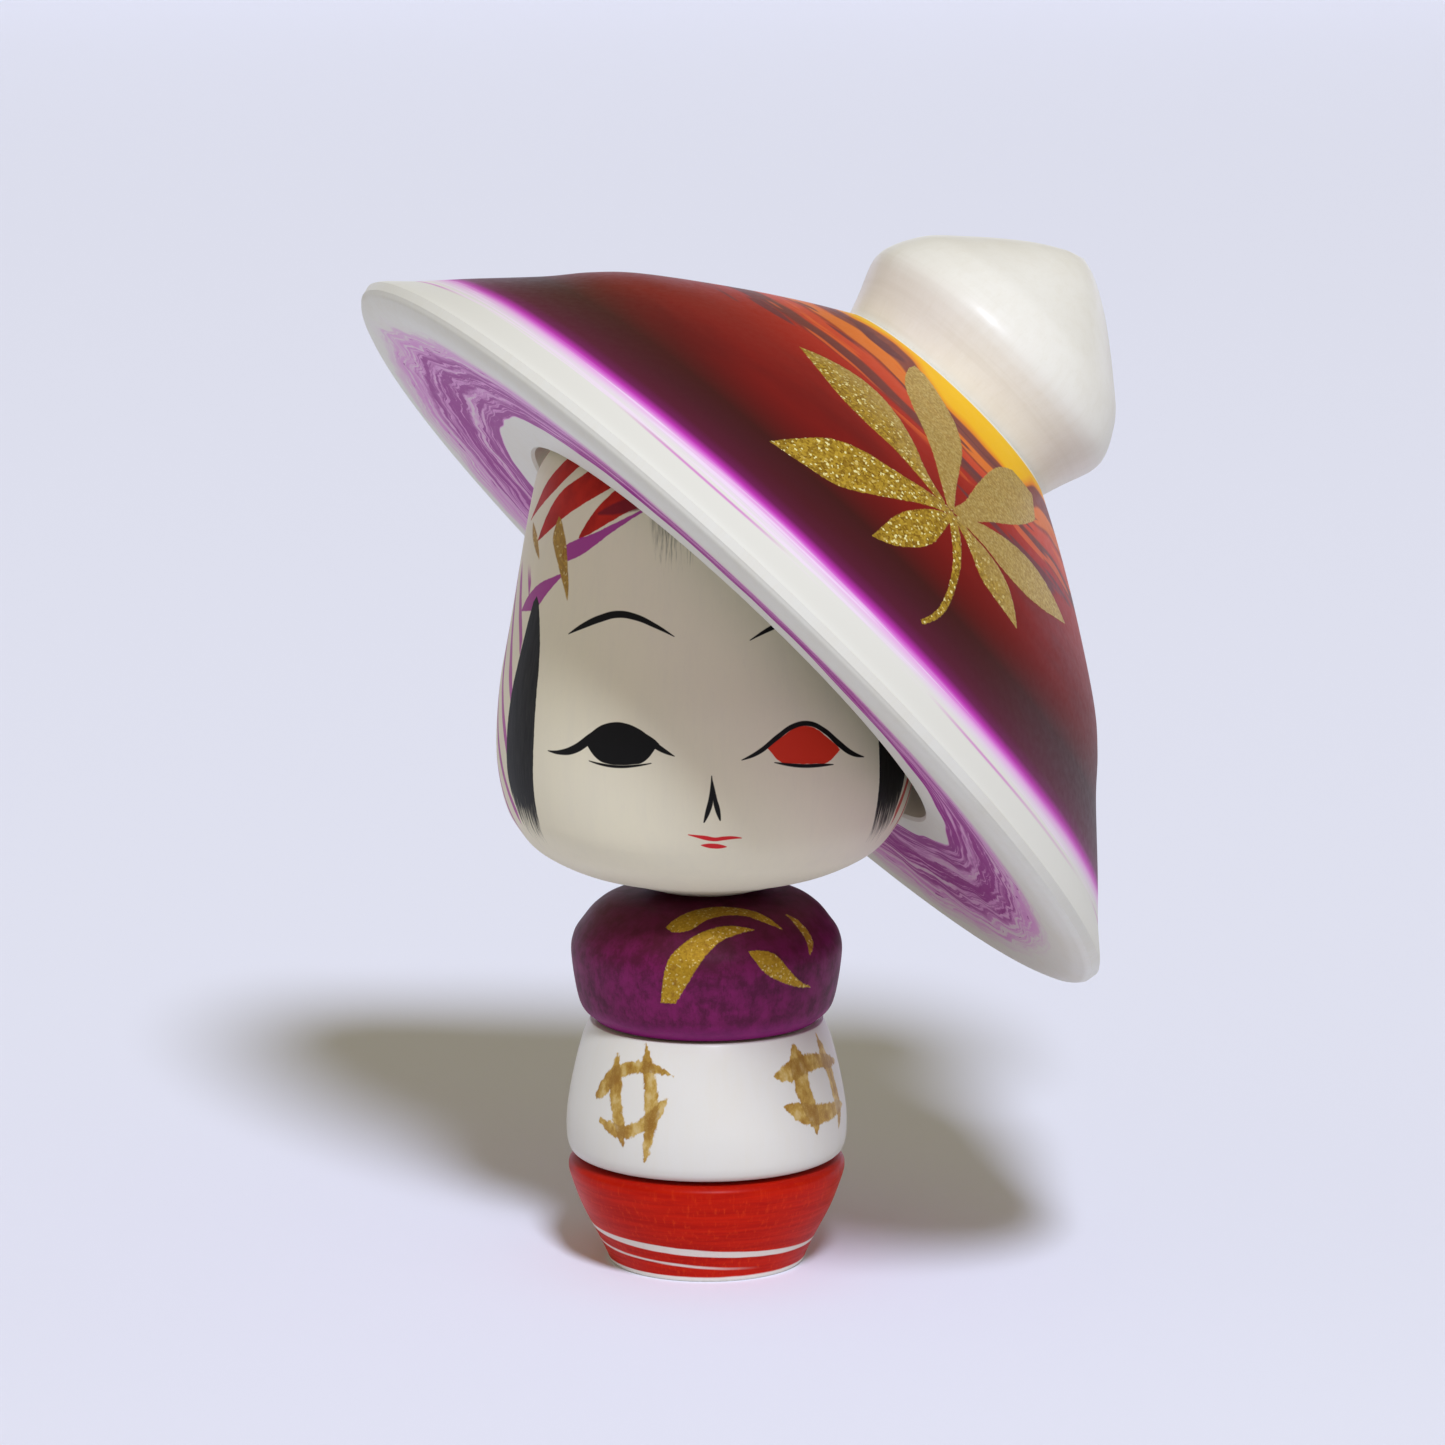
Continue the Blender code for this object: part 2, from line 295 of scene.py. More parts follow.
def polish(tree, colour, roughness, relief, coat=0.0, metal=None, shine=0.2):
    """Joins colour, roughness and a relief in millimetres to the shader, under a coat of wax."""
    shader = tree.nodes["Principled BSDF"]
    bump = node(tree, "Bump")
    bump.inputs["Strength"].default_value = 1.0
    bump.inputs["Distance"].default_value = MM
    tree.links.new(relief, bump.inputs["Height"])
    tree.links.new(bump.outputs[0], shader.inputs["Normal"])
    tree.links.new(colour, shader.inputs["Base Color"])
    tree.links.new(roughness, shader.inputs["Roughness"])
    if metal:
        tree.links.new(metal, shader.inputs["Metallic"])
    shader.inputs["Specular IOR Level"].default_value = shine
    shader.inputs["Coat Weight"].default_value = coat
    shader.inputs["Coat Roughness"].default_value = 0.28


def ringwise(tree, place, radius, height, around, along):
    """A place for noise that makes rings: around is how fast it changes along a ring, along across it."""
    x, y, _ = node(tree, "SeparateXYZ", place).outputs
    reach = calc(tree, "MAXIMUM", radius, 0.5)
    return node(tree, "CombineXYZ",
                times(tree, calc(tree, "DIVIDE", x, reach), around),
                times(tree, calc(tree, "DIVIDE", y, reach), around),
                times(tree, calc(tree, "ADD", radius, height), along)).outputs[0]


PALE_WOOD = dye(233, 230, 218)
WOOD_SHADE = dye(217, 210, 190)


def pale_wood(tree, place, tone=PALE_WOOD):
    """Close-grained pale wood: faint streaks along the grain, which runs along the lathe, and blotches."""
    grain = noise(tree, place, (0.9, 0.9, 0.045), detail=4, roughness=0.6)
    fleck = noise(tree, place, (4.5, 4.5, 0.7), detail=2)
    cloud = noise(tree, place, (0.11, 0.11, 0.07), detail=2)
    mix = times(tree, rise(tree, grain, 0.42, 0.72), 0.16)
    mix = calc(tree, "ADD", mix, times(tree, rise(tree, fleck, 0.5, 0.75), 0.12))
    mix = calc(tree, "ADD", mix, times(tree, rise(tree, cloud, 0.4, 0.7), 0.2))
    return blend(tree, mix, tone, WOOD_SHADE), grain


def tool_marks(tree, place, radius, height, depth=0.006):
    """Relief in millimetres of the fine rings that the turning gouge and the abrasive leave."""
    rings = noise(tree, ringwise(tree, place, radius, height, 0.6, 3.1), (1, 1, 1), detail=3)
    return times(tree, rings, depth)


skirt_radius, skirt_foot, skirt_top = lathe_size("skirt_base")
torso_radius, torso_bottom, torso_top = lathe_size("torso")
collar_radius, collar_bottom, collar_top = lathe_size("collar")
dowel_radius, dowel_bottom, dowel_top = lathe_size("core_dowel")
bore_gap = 0.25 * MM
dowel_bore = dowel_radius + bore_gap
dowel_air = 0.3 * MM
groove_depth = 1.2 * MM
foot_radius = 0.71 * skirt_radius


def skirt_outline():
    """A flat foot, a side that flares in an S, a shoulder rounded into the groove, and the socket."""
    flare = skirt_radius - foot_radius
    shoulder = skirt_top - groove_depth / 2
    side = smooth_curve([(foot_radius + flare * out, shoulder * up) for out, up in (
        (-0.05, 0), (0.0, 0.02), (0.07, 0.09), (0.30, 0.28), (0.69, 0.58), (0.96, 0.87), (1, 0.965),
        (0.965, 1.01), (0.86, 1.04), (0.71, 1.055))])
    socket = [(dowel_bore, skirt_top), (dowel_bore, dowel_bottom - dowel_air), (0, dowel_bottom - dowel_air)]
    return [[(0, skirt_foot)], side, socket]


skirt = turned("skirt_base_turned", skirt_outline())
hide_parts("skirt_base")
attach(skirt, "body")


def red_dye(piece):
    """Red dye with painted shade darkening the shoulder under the torso, drier streaks round the piece, two
    bare rings and a bare foot.
    """
    tree = new_finish("red_lacquer", piece)
    place, height, radius, angle = lathe_space(tree)
    wood, grain = pale_wood(tree, place)
    around = ringwise(tree, place, radius, height, 1.6, 1.4)
    streak = noise(tree, around, (1, 1, 1), detail=5, roughness=0.65)
    fleck = noise(tree, place, (3.2, 3.2, 0.55), detail=3)
    red = blend(tree, rise(tree, streak, 0.34, 0.68), dye(200, 30, 4), dye(176, 18, 3))
    red = blend(tree, times(tree, rise(tree, fleck, 0.5, 0.8), 0.55), red, dye(220, 62, 18))
    # Painted shade: the shoulder darkens towards the groove under the torso's overhang.
    red = blend(tree, times(tree, rise(tree, height, 9.2, 10.6), 0.5), red, dye(138, 14, 6))
    # The rings sink a little towards the right; the upper is broadest in front, the lower one fades out
    climb = times(tree, calc(tree, "SINE", angle), -0.75)
    level = calc(tree, "SUBTRACT", height, climb)
    level = calc(tree, "SUBTRACT", level, times(tree, calc(tree, "SUBTRACT", streak, 0.5), 0.25))
    breadth = scaled(tree, calc(tree, "COSINE", calc(tree, "ADD", angle, 0.15)), 0.20, 0.17)
    off_centre = calc(tree, "ABSOLUTE", calc(tree, "SUBTRACT", level, 3.3))
    upper = rise(tree, calc(tree, "SUBTRACT", breadth, off_centre), -0.07, 0.07)
    lower = band(tree, level, 1.55, 1.8, 0.16)
    fade = rise(tree, calc(tree, "COSINE", calc(tree, "ADD", angle, 0.9)), 0.1, 0.8)
    lower = times(tree, lower, times(tree, fade, 0.85))
    foot = rise(tree, scaled(tree, streak, 0.3, height), 0.75, 0.55)
    bare = calc(tree, "MAXIMUM", times(tree, upper, 0.93), calc(tree, "MAXIMUM", lower, foot))
    colour = blend(tree, bare, red, wood)
    roughness = scaled(tree, streak, 0.22, 0.28)
    relief = scaled(tree, grain, 0.006, tool_marks(tree, place, radius, height, 0.012))
    polish(tree, colour, roughness, relief, shine=0.08)


red_dye(skirt)

# ---------------------------------------------------------------------------------------------
# Core dowel: a plain birch dowel, glued in the skirt base's socket. It runs up through the torso
# into the collar and holds the three on one line. Its ends are chamfered.
# ---------------------------------------------------------------------------------------------
chamfer = 0.4 * MM


def dowel_outline(radius, bottom, top):
    """A plain dowel with a small chamfer at each end."""
    return [[(0, bottom), (radius - chamfer, bottom), (radius, bottom + chamfer),
             (radius, top - chamfer), (radius - chamfer, top), (0, top)]]


def bare_dowel(piece, name, lathe=UPRIGHT):
    """Unpainted birch: tan streaks along the grain, dark pores, and end grain in faint rings."""
    tree = new_finish(name, piece)
    place = lathe_space(tree, lathe)[0]
    grain = noise(tree, place, (1.3, 1.3, 0.06), detail=5, roughness=0.6)
    pores = noise(tree, place, (6.0, 6.0, 0.35), detail=2)
    colour = blend(tree, rise(tree, grain, 0.3, 0.7), dye(214, 190, 148), dye(190, 160, 114))
    colour = blend(tree, times(tree, rise(tree, pores, 0.6, 0.8), 0.6), colour, dye(148, 116, 76))
    roughness = scaled(tree, grain, 0.2, 0.5)
    polish(tree, colour, roughness, times(tree, pores, 0.02))


core = turned("core_dowel_turned", dowel_outline(dowel_radius, dowel_bottom, dowel_top), rounds=96)
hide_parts("core_dowel")
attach(core, "body")
bare_dowel(core, "birch_core")

# ---------------------------------------------------------------------------------------------
# Torso: the white sleeve piece, bored right through for the core dowel. It is waxed bare wood
# with one gold well-frame mark on each side, put on with a wide, half-dry brush.
# ---------------------------------------------------------------------------------------------
torso_top_radius = 0.827 * torso_radius


def torso_outline():
    """A belly low down, tucked in at the groove below, a slow taper above and the bore inside."""
    taper = torso_radius - torso_top_radius
    tall = torso_top - torso_bottom
    side = smooth_curve([(torso_top_radius + taper * out, torso_bottom + tall * up) for out, up in (
        (0.52, 0.0), (0.76, 0.022), (0.90, 0.06), (0.985, 0.13), (1, 0.26), (0.93, 0.39), (0.69, 0.62),
        (0.36, 0.85), (0.06, 0.985), (-0.04, 1))])
    return [[(dowel_bore, torso_bottom)], side, [(dowel_bore, torso_top), (dowel_bore, torso_bottom)]]


torso = turned("torso_turned", torso_outline())
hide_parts("torso")
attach(torso, "body")


def drawn_value(tree, share, values):
    """A smooth curve through values at equal steps, as share goes from 0 to 1."""
    made = node(tree, "FloatCurve", 1.0, share)
    made.mapping.clip_min_y = -1
    points = made.mapping.curves[0].points
    for _ in values[2:]:
        points.new(0.5, 0.0)
    for point, spot, value in zip(points, np.linspace(0, 1, len(values)), values):
        point.location = (spot, value)
    made.mapping.update()
    return made.outputs[0]


def stroke(tree, canvas, start, end, bow, width, soft=0.12, ragged=None):
    """Mask of one brush stroke on a canvas whose x and y are millimetres on the surface.

    Along the line from start to end, bow is how far the stroke's middle strays to the left of the
    line and width is its full breadth, in millimetres at equal steps. Ragged adds to the breadth.
    """
    length = math.dist(start, end)
    heading = math.atan2(end[1] - start[1], end[0] - start[0])
    local = node(tree, "Mapping", canvas, (*start, 0), (0, 0, heading), (length, length, length),
                 vector_type="TEXTURE").outputs[0]
    along, across, _ = node(tree, "SeparateXYZ", local).outputs
    share = calc(tree, "ADD", along, 0.0, clamp=True)
    middle = drawn_value(tree, share, [value / length for value in bow])
    breadth = drawn_value(tree, share, [value / length / 2 for value in width])
    stray = calc(tree, "ADD", calc(tree, "ABSOLUTE", calc(tree, "SUBTRACT", across, middle)),
                 calc(tree, "ABSOLUTE", calc(tree, "SUBTRACT", along, share)))
    room_left = calc(tree, "SUBTRACT", breadth, stray)
    if ragged:
        room_left = scaled(tree, ragged, 1 / length, room_left)
    return rise(tree, room_left, -soft / 2 / length, soft / 2 / length)


def strokes(tree, canvas, lines, **brush):
    """One mask for several strokes of the same brush."""
    masks = [stroke(tree, canvas, *line, **brush) for line in lines]
    mask = masks[0]
    for other in masks[1:]:
        mask = calc(tree, "MAXIMUM", mask, other)
    return mask


def unrolled(tree, height, angle, radius):
    """A canvas wrapped round a piece: x is the arc from the front at this radius, y the height."""
    return node(tree, "CombineXYZ", times(tree, angle, radius), height, 0.0).outputs[0]


WELL_FRAME_LEFT = (
    ((-11.1, 23.3), (-8.8, 14.5), (0, -0.1, -0.25, -0.25, -0.15, 0, 0), (0.3, 1.3, 1.8, 1.5, 1.4, 1.2, 0.2)),
    ((-7.4, 24.6), (-6.3, 13.2), (0, 0.5, 0.9, 1.05, 0.95, 0.5, 0), (0.2, 1.3, 1.5, 1.6, 1.4, 1.0, 0.2)),
    ((-13.2, 18.8), (-3.6, 21.9), (0, 0.9, 1.7, 1.9, 1.65, 1.1, 0), (0.6, 2.0, 1.6, 1.2, 1.2, 0.9, 0.1)),
    ((-11.9, 16.5), (-4.0, 19.8), (0, -1.2, -1.8, -1.8, -1.6, -0.9, 0), (0.7, 1.5, 1.4, 1.1, 1.5, 1.3, 0.1)))
WELL_FRAME_RIGHT = (
    ((11.1, 24.2), (12.6, 15.1), (0, -0.3, -0.4, -0.5, -0.3, 0, 0), (0.3, 2.2, 2.3, 2.1, 2.0, 1.6, 0.2)),
    ((16.1, 24.3), (17.0, 14.6), (0, 0, 0.3, 0.5, 0.6, 0.6, 0), (0.3, 1.4, 1.7, 1.6, 1.5, 1.2, 0.2)),
    ((7.9, 21.5), (19.6, 21.0), (0, 0.3, 0.7, 0.8, 0.6, 0.3, 0), (0.6, 2.0, 1.9, 1.6, 1.5, 1.2, 0.2)),
    ((8.7, 18.4), (19.0, 16.7), (0, -0.5, -0.8, -0.7, -0.5, -0.2, 0), (0.6, 1.9, 2.1, 2.0, 1.7, 1.4, 0.2)))


def gold_marked_wood(piece):
    """White wood, toned darker as painted shade of the hat, with two marks in thin gold paint, denser where
    two strokes cross.
    """
    tree = new_finish("white_wood_gold_marks", piece)
    place, height, radius, angle = lathe_space(tree)
    # The wood's tone is darker than the crown's: painted shade for the hat's soft shadow on the torso.
    wood, grain = pale_wood(tree, place, dye(218, 215, 205))
    canvas = unrolled(tree, height, angle, 14.0)
    fray = scaled(tree, noise(tree, canvas, (2.2, 1.4, 1), detail=4), 0.9, -0.45)
    masks = [stroke(tree, canvas, *line, soft=0.22, ragged=fray)
             for line in WELL_FRAME_LEFT + WELL_FRAME_RIGHT]
    overlap = masks[0]
    for mask in masks[1:]:
        overlap = calc(tree, "ADD", overlap, mask)
    wash = noise(tree, canvas, (0.75, 0.5, 1), detail=4, roughness=0.6)
    flake = noise(tree, place, (7, 7, 7), detail=2)
    gold = blend(tree, rise(tree, wash, 0.32, 0.66), dye(205, 170, 78), dye(158, 112, 24))
    gold = blend(tree, times(tree, rise(tree, overlap, 1.0, 2.0), 0.5), gold, dye(138, 92, 14))
    gold = blend(tree, times(tree, rise(tree, flake, 0.55, 0.8), 0.35), gold, dye(228, 196, 112))
    covered = calc(tree, "MINIMUM", overlap, 1.0)
    thickness = scaled(tree, rise(tree, wash, 0.25, 0.5), 0.25, 0.72)
    cover = times(tree, covered, thickness)
    colour = blend(tree, cover, wood, gold)
    roughness = scaled(tree, grain, 0.14, 0.34)
    relief = scaled(tree, cover, 0.02, tool_marks(tree, place, radius, height))
    relief = scaled(tree, grain, 0.005, relief)
    metal = times(tree, cover, 0.30)
    polish(tree, colour, roughness, relief, coat=0.18, metal=metal)


gold_marked_wood(torso)

# ---------------------------------------------------------------------------------------------
# Collar: the purple neck piece, a flattened ball of stained wood. The core dowel ends in its
# lower socket; its upper bore, widened at the bottom, catches the neck plug's bead.
# ---------------------------------------------------------------------------------------------
plug_radius, plug_bottom, plug_top = lathe_size("neck_plug")
plug_bead = 0.6 * MM
plug_bead_height = 1.6 * MM
plug_radius -= plug_bead


def collar_outline():
    """The ball's side between its two sockets."""
    edge = torso_top_radius - 0.4 * MM
    tall = collar_top - collar_bottom
    plug_bore = plug_radius + bore_gap
    bead_bore = plug_bore + plug_bead
    floor = plug_bottom - dowel_air
    throat = floor + plug_bead_height + 2 * dowel_air
    side = smooth_curve([(edge, collar_bottom)] + [
        (collar_radius * out, collar_bottom + tall * up) for out, up in (
            (0.94, 0.13), (1, 0.48), (0.985, 0.64), (0.92, 0.75), (0.83, 0.86), (0.70, 0.94),
            (0.45, 0.985))])
    below = [(0, dowel_top + dowel_air), (dowel_bore, dowel_top + dowel_air), (dowel_bore, collar_bottom)]
    above = [(plug_bore, collar_top), (plug_bore, throat), (bead_bore, throat), (bead_bore, floor),
             (0, floor)]
    return [below, side, above]


collar = turned("collar_turned", collar_outline())
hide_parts("collar")
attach(collar, "body")

COLLAR_LEAVES = (
    ((-3.4, 24.0), (7.5, 24.4), (0, 0.7, 1.65, 2.0, 1.8, 1.05, 0), (1.3, 2.5, 2.0, 1.55, 1.2, 1.0, 0.1)),
    ((-3.7, 17.5), (4.7, 23.8), (0, 0.85, 1.3, 1.55, 1.5, 1.0, 0), (2.1, 3.0, 2.8, 2.25, 1.7, 1.2, 0.1)),
    ((4.2, 21.3), (10.3, 19.7), (0, -0.15, -0.3, -0.45, -0.6, -0.5, 0),
     (0.1, 1.4, 2.15, 1.9, 1.2, 0.55, 0.1)),
    ((8.0, 26.4), (10.3, 22.4), (0, 0.4, 0.6, 0.75, 0.75, 0.5, 0), (0.2, 0.6, 0.75, 0.8, 0.75, 0.6, 0.1)))


def gold_flakes(tree, place, fineness=4.2):
    """Colour of gold paint full of flakes, whose brightest flakes are painted near white as glints, and each
    flake's own brightness from 0 to 1.
    """
    cells = node(tree, "TexVoronoi")
    tree.links.new(place, cells.inputs["Vector"])
    cells.inputs["Scale"].default_value = fineness
    bright = node(tree, "SeparateColor", cells.outputs["Color"]).outputs[0]
    body = blend(tree, bright, dye(132, 96, 14), dye(208, 172, 56))
    # The brightest flakes get a near-white colour: painted glints that shine under any light.
    return blend(tree, rise(tree, bright, 0.88, 0.96), body, dye(255, 246, 176)), bright


def tilted_canvas(tree, place, turn, centre=(0, 0, 0)):
    """A flat canvas held against a curved piece: x and y of a plane, z the distance in front of it."""
    return node(tree, "Mapping", place, centre, turn, (1, 1, 1), vector_type="TEXTURE").outputs[0]


def purple_stain(piece):
    """Purple wood stain, mottled, with painted shade of the head browning its upper part, pinker at the lower
    edge, with four gold leaves.
    """
    tree = new_finish("purple_stain_gold_leaves", piece)
    place, height, radius, _ = lathe_space(tree)
    mottle = noise(tree, place, (0.55, 0.55, 0.5), detail=6, roughness=0.7)
    grain = noise(tree, place, (3.4, 3.4, 0.6), detail=3)
    purple = blend(tree, rise(tree, mottle, 0.36, 0.66), dye(118, 24, 84), dye(82, 18, 54))
    purple = blend(tree, times(tree, rise(tree, grain, 0.5, 0.75), 0.4), purple, dye(62, 12, 34))
    # Painted shade: the stain darkens to brown towards the top, where the head shades the ball.
    upper = rise(tree, scaled(tree, mottle, 3.0, height), 32.0, 38.5)
    purple = blend(tree, times(tree, upper, 0.65), purple, dye(80, 14, 30))
    hem = rise(tree, height, 27.4, 25.4)
    purple = blend(tree, times(tree, hem, 0.7), purple, dye(140, 26, 112))
    # The plane of the gold leaves looks up by 35 degrees; beyond the ball's middle there is no paint
    canvas = tilted_canvas(tree, place, (math.radians(55), 0, 0))
    depth = node(tree, "SeparateXYZ", canvas).outputs[2]
    fray = scaled(tree, noise(tree, place, (3, 3, 3), detail=3), 0.30, -0.15)
    leaves = strokes(tree, canvas, COLLAR_LEAVES, soft=0.16, ragged=fray)
    leaves = times(tree, leaves, rise(tree, depth, 15.0, 17.0))
    gold, bright = gold_flakes(tree, place, 5.5)
    gold = blend(tree, 0.62, gold, dye(178, 138, 34))
    dry = noise(tree, canvas, (1.4, 1.4, 1), detail=4)
    gold = blend(tree, times(tree, rise(tree, dry, 0.5, 0.75), 0.5), gold, dye(126, 76, 26))
    colour = blend(tree, leaves, purple, gold)
    roughness = scaled(tree, mottle, 0.2, 0.42)
    relief = times(tree, leaves, scaled(tree, bright, 0.03, 0.02))
    relief = calc(tree, "ADD", relief, tool_marks(tree, place, radius, height))
    relief = scaled(tree, grain, 0.008, relief)
    polish(tree, colour, roughness, relief, metal=times(tree, leaves, 0.4), shine=0.15)


purple_stain(collar)

# ---------------------------------------------------------------------------------------------
# Neck plug: a birch plug pressed into the head. Its bead is snapped in below the collar's throat,
# where it turns stiffly, so the head turns and stays where it is put.
# ---------------------------------------------------------------------------------------------


def plug_outline():
    """A dowel with a bead at its lower end."""
    bead = plug_radius + plug_bead
    bead_top = plug_bottom + plug_bead_height
    return [[(0, plug_bottom), (plug_radius, plug_bottom), (bead, plug_bottom + plug_bead), (bead, bead_top),
             (plug_radius, bead_top), (plug_radius, plug_top - chamfer), (plug_radius - chamfer, plug_top),
             (0, plug_top)]]


plug = turned("neck_plug_turned", plug_outline(), rounds=96)
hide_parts("neck_plug")
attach(plug, "head")
bare_dowel(plug, "birch_plug")

# ---------------------------------------------------------------------------------------------
# Head: turned from one block of white wood, narrower above. The face, the side locks and the
# head scarf's brush stripes are painted on by hand in ink and dye, with a little gold on the scarf.
# ---------------------------------------------------------------------------------------------
head_radius, head_bottom, head_top = lathe_size("head")
neck_in_head = 8.0 * MM
head_seat = 5.5 * MM
hat_joint = next(joint for joint in frame["joints"] if joint["name"] == "hat_turn")
hat_axis = Vector(hat_joint["axis"]).normalized()
hat_lean = math.acos(hat_axis.z)
HAT_LATHE = (Vector(hat_joint["pos_m"]), Euler((0, hat_lean, math.atan2(hat_axis.y, hat_axis.x))))
peg_radius, peg_bottom, peg_top = lathe_size("hat_peg", HAT_LATHE)


def head_outline():
    """A flat seat, full cheeks, a straight taper and a low crown, with the plug's socket in the base."""
    tall = head_top - head_bottom
    side = smooth_curve([(head_radius * out, head_bottom + tall * up) for out, up in (
        (0.476, 0.029), (0.652, 0.051), (0.81, 0.087), (0.895, 0.127), (0.962, 0.184), (1, 0.285),
        (0.984, 0.42), (0.929, 0.558), (0.833, 0.80), (0.771, 0.89), (0.62, 0.955), (0.33, 0.992), (0, 1))])
    bore = plug_radius + bore_gap
    socket = [(0, head_bottom + neck_in_head), (bore, head_bottom + neck_in_head), (bore, head_bottom),
              (head_seat, head_bottom)]
    return [socket, side]


def bored(piece, cutter):
    """The piece with the cutter's shape taken out of it."""
    cut = piece.modifiers.new("bore", "BOOLEAN")
    cut.operation = "DIFFERENCE"
    cut.solver = "EXACT"
    cut.object = cutter
    depsgraph = bpy.context.evaluated_depsgraph_get()
    mesh = bpy.data.meshes.new_from_object(piece.evaluated_get(depsgraph))
    piece.modifiers.clear()
    piece.data = mesh
    bpy.data.objects.remove(cutter)
    return piece


head = turned("head_turned", head_outline())
peg_hole = turned("peg_hole", [[(0, peg_bottom - dowel_air), (peg_radius + bore_gap, peg_bottom - dowel_air),
                                (peg_radius + bore_gap, peg_top), (0, peg_top)]], HAT_LATHE, rounds=64)
head = bored(head, peg_hole)
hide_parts("head")
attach(head, "head")


def mirrored(lines):
    """The same strokes on the other side of the face."""
    return tuple(((-start[0], start[1]), (-end[0], end[1]), tuple(-value for value in bow), width)
                 for start, end, bow, width in lines)


# Strokes as start, end, bow and width; x is millimetres round the head from the front, y the height
BROWS = (
    ((-16.2, 66.8), (-3.4, 67.5), (0, 0.95, 1.7, 2.15, 1.9, 1.1, 0), (0.1, 0.6, 0.75, 0.7, 0.65, 0.5, 0.1)),
    ((4.7, 67.1), (17.6, 66.4), (0, 1.1, 1.9, 2.15, 1.7, 0.95, 0), (0.1, 0.5, 0.65, 0.7, 0.75, 0.6, 0.1)))
EYE_LINES = (
    ((-17.5, 55.2), (-3.1, 56.0), (0, 0, 0.45, 1.5, 2.7, 2.95, 2.4, 1.05, 0),
     (0.1, 0.5, 0.9, 1.1, 0.75, 0.65, 0.7, 0.75, 0.1)),
    ((-12.4, 56.8), (-5.0, 57.1), (0, -0.15, -0.1, -0.05, -0.15, -0.3, 0),
     (0.8, 3.1, 4.0, 4.2, 3.8, 2.9, 0.8)),
    ((-12.1, 54.9), (-5.4, 55.2), (0, -0.3, -0.4, -0.27, 0), (0.1, 0.27, 0.3, 0.25, 0.1)),
    ((3.5, 55.6), (17.4, 54.6), (0, 0.9, 2.3, 3.4, 3.6, 2.85, 1.55, 0.5, 0),
     (0.1, 0.55, 0.65, 0.55, 0.5, 0.6, 0.75, 0.55, 0.1)),
    ((6.8, 55.2), (13.3, 54.4), (0, -0.15, -0.2, -0.1, 0), (0.1, 0.33, 0.38, 0.35, 0.1)))
RED_EYE = ((6.5, 56.6), (13.8, 55.8), (0, 0, 0.4, 0.45, 0.3, -0.05, 0), (0.8, 2.7, 3.6, 3.75, 3.35, 2.5, 0.8))
NOSE = (
    ((0.55, 54.1), (-0.2, 49.4), (0, 0.2, 0.3, 0.2, 0), (0.1, 0.32, 0.5, 0.5, 0.15)),
    ((0.55, 53.9), (1.4, 49.6), (0, -0.05, -0.1, -0.05, 0), (0.1, 0.28, 0.44, 0.5, 0.15)))
MOUTH = (
    ((-1.8, 48.1), (3.6, 47.7), (0, -0.1, -0.2, -0.28, -0.12, 0, 0), (0.1, 0.3, 0.46, 0.42, 0.42, 0.32, 0.1)),
    ((-0.5, 47.0), (2.1, 46.8), (0, 0, 0, 0, 0), (0.1, 0.45, 0.54, 0.45, 0.1)))
LEFT_LOCK = (((-22.8, 69.0), (-20.9, 45.4), (0, -0.1, -0.3, -0.6, -0.95, -1.2, -1.4, -1.2, -0.9),
              (1.3, 3.3, 4.6, 5.4, 5.9, 6.0, 5.7, 4.6, 3.4)),)
FORELOCK = ((-2.6, 82.0), (-3.9, 74.0), (0, 0, 0, 0, 0), (9.0, 8.0, 6.5, 5.0, 3.6))
LEFT_REDS = (
    ((-17.5, 86.3), (-28.9, 76.3), (0, 0, 0, 0.1, 0.1, 0.1, 0), (3.0, 3.0, 2.9, 2.6, 1.8, 0.9, 0.1)),
    ((-9.0, 85.0), (-24.8, 74.8), (0, -0.4, -0.6, -0.8, -1.0, -0.7, 0), (3.6, 3.6, 3.4, 3.0, 2.8, 2.0, 0.1)),
    ((-3.5, 83.0), (-16.2, 76.2), (0, -0.3, -0.6, -0.9, -0.8, -0.5, 0), (3.0, 3.0, 3.0, 2.8, 2.4, 1.7, 0.4)))
LEFT_PURPLES = (
    ((-6.0, 80.2), (-18.2, 74.4), (0, 0, 0.05, 0.1, 0.2, 0.15, 0), (0.2, 0.3, 0.5, 0.8, 1.2, 1.7, 1.6)),
    ((-18.6, 72.2), (-26.4, 67.7), (0, 0, 0, 0.1, 0.15, 0, 0), (0.4, 0.9, 1.5, 2.0, 2.0, 1.3, 0.2)))
PURPLE_ON_RED = ((-5.6, 80.9), (-13.8, 78.7), (0, 0, 0, 0, 0), (1.7, 1.6, 1.4, 1.0, 0.2))
LEFT_GOLDS = (
    ((-20.4, 77.4), (-17.0, 70.0), (0, -0.3, -0.1, 0.05, 0.1, 0.15, 0), (0.8, 2.2, 2.2, 1.75, 1.3, 0.8, 0.1)),
    ((-27.5, 76.2), (-23.6, 73.2), (0, 0, 0.1, 0.1, 0), (0.2, 1.0, 1.1, 0.8, 0.1)))


